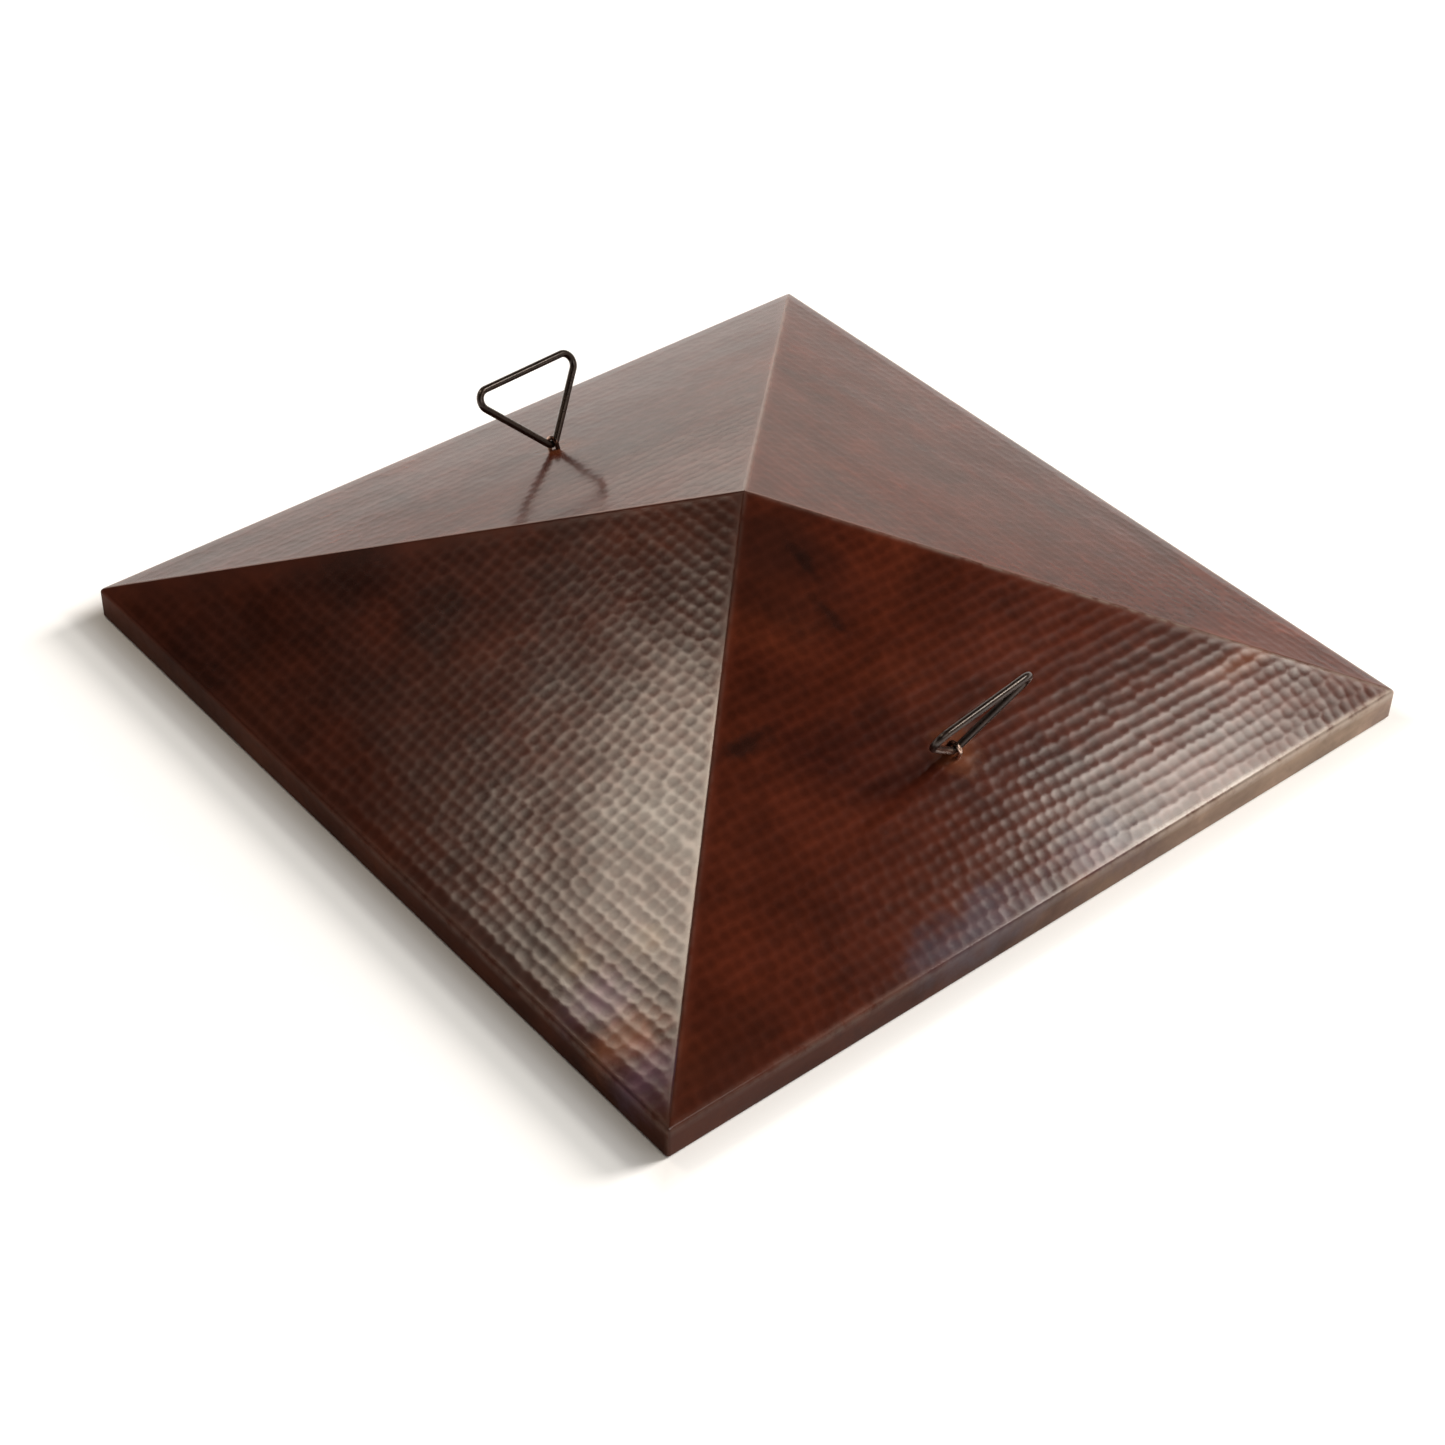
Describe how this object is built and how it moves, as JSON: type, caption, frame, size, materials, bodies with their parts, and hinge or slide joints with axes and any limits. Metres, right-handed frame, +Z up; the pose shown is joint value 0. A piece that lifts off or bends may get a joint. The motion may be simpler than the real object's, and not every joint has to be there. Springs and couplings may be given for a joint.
{
  "type": "fire pit cover",
  "caption": "Low square pyramid cover of hammered copper sheet with a short skirt, a turned-in hem and folding triangular ring handles on opposite faces.",
  "frame": {"origin": "the middle of the square that the hem stands on", "axes": "+Z up through the apex, +X along the front edge to the right, -Y towards the front; the rings stand on the front and back faces"},
  "size_m": [0.762, 0.762, 0.1799],
  "materials": {
    "hammered_copper": "hammered copper with a dark, glossy brown patina",
    "ring_rod": "copper rod, blackened, satin",
    "bright_copper": "copper wire, rubbed bright",
    "inner_copper": "plain copper sheet, dulled and heat stained",
    "bronze_hardware": "bronze, satin"
  },
  "bodies": {
    "cover": {"front_gore": "hammered_copper", "right_gore": "hammered_copper", "back_gore": "hammered_copper", "left_gore": "hammered_copper", "front_left_hip_strap": "inner_copper", "front_right_hip_strap": "inner_copper", "back_right_hip_strap": "inner_copper", "back_left_hip_strap": "inner_copper", "front_left_corner_gusset": "inner_copper", "front_right_corner_gusset": "inner_copper", "back_right_corner_gusset": "inner_copper", "back_left_corner_gusset": "inner_copper", "apex_plate": "inner_copper", "front_staple": "bright_copper", "front_backing_plate": "inner_copper", "front_washer_upper": "bronze_hardware", "front_washer_lower": "bronze_hardware", "front_nut_upper": "bronze_hardware", "front_nut_lower": "bronze_hardware", "back_staple": "bright_copper", "back_backing_plate": "inner_copper", "back_washer_upper": "bronze_hardware", "back_washer_lower": "bronze_hardware", "back_nut_upper": "bronze_hardware", "back_nut_lower": "bronze_hardware"},
    "front_ring": {"front_ring": "ring_rod"},
    "back_ring": {"back_ring": "ring_rod"}
  },
  "joints": [
    {"name": "front_ring_pivot", "type": "hinge", "parent": "cover", "child": "front_ring", "pos_m": [0, -0.25448, 0.08318], "axis": [-0.9945, -0.0971, -0.0386], "range_deg": [-88, 92]},
    {"name": "back_ring_pivot", "type": "hinge", "parent": "cover", "child": "back_ring", "pos_m": [0, 0.25448, 0.08318], "axis": [0.9945, 0.0971, -0.0386], "range_deg": [-76.5, 103.5]}
  ]
}
